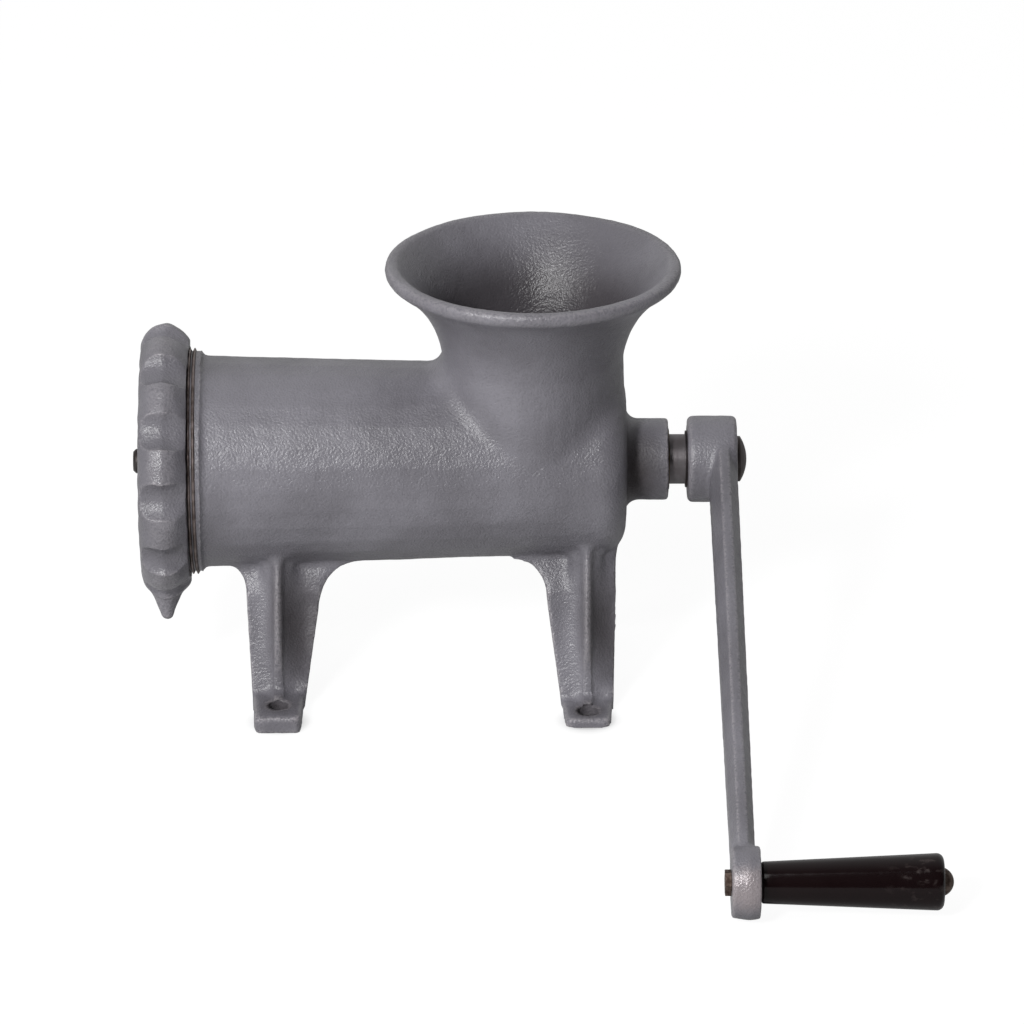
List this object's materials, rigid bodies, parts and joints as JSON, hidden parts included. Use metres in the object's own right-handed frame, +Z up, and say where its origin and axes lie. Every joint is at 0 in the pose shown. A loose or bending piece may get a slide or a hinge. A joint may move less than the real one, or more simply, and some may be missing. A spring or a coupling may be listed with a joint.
{
  "type": "hand crank meat grinder",
  "caption": "Cast iron hand crank meat grinder with flared hopper, tapered barrel, lugged ring nut, splayed bolt-down legs and a crank with a dark turning grip.",
  "frame": {"origin": "middle of the four foot bolt holes, on the plane of the soles", "axes": "+X along the feed screw towards the crank, +Z up, +Y away from the viewer"},
  "size_m": [0.3537, 0.3394, 0.199],
  "materials": {
    "body_paint": "grey paint over rough sand-cast iron",
    "ring_paint": "grey paint over rough sand-cast iron",
    "crank_paint": "grey paint, worn bright at the end boss",
    "screw_metal": "plain grey casting with a turned journal",
    "steel": "ground",
    "dark_steel": "blackened",
    "rusty_steel": "dull with brown rust",
    "bushing_brass": "turned",
    "grip_black": "glossy reddish black moulding"
  },
  "bodies": {
    "grinder_body": {"body_casting": "body_paint", "plate_key_pin": "steel", "rear_bushing": "bushing_brass"},
    "crank_drive": {"feed_screw": "screw_metal", "screw_stud": "steel", "cutting_knife": "steel", "thrust_washer": "steel", "shaft_washer": "dark_steel", "crank_arm": "crank_paint", "crank_screw": "dark_steel", "handle_bolt": "rusty_steel", "handle_nut": "rusty_steel"},
    "grip": {"handle_grip": "grip_black"},
    "plate": {"hole_plate": "steel"},
    "ring": {"ring_nut": "ring_paint"}
  },
  "joints": [
    {"name": "crank_turn", "type": "hinge", "parent": "grinder_body", "child": "crank_drive", "pos_m": [0, 0, 0.1034], "axis": [1, 0, 0], "continuous": true},
    {"name": "handle_spin", "type": "hinge", "parent": "crank_drive", "child": "grip", "pos_m": [0.18, -0.25345, 0.0163], "axis": [1, 0, 0], "continuous": true},
    {"name": "plate_slide", "type": "slide", "parent": "grinder_body", "child": "plate", "axis": [-1, 0, 0], "range_m": [0, 0.0106]},
    {"name": "ring_turn", "type": "hinge", "parent": "plate", "child": "ring", "pos_m": [0, 0, 0.1034], "axis": [-1, 0, 0], "range_deg": [0, 1800]}
  ],
  "couplings": [
    {"joint": "plate_slide", "follows": "ring_turn", "m_per_rad": 0.00033688}
  ]
}
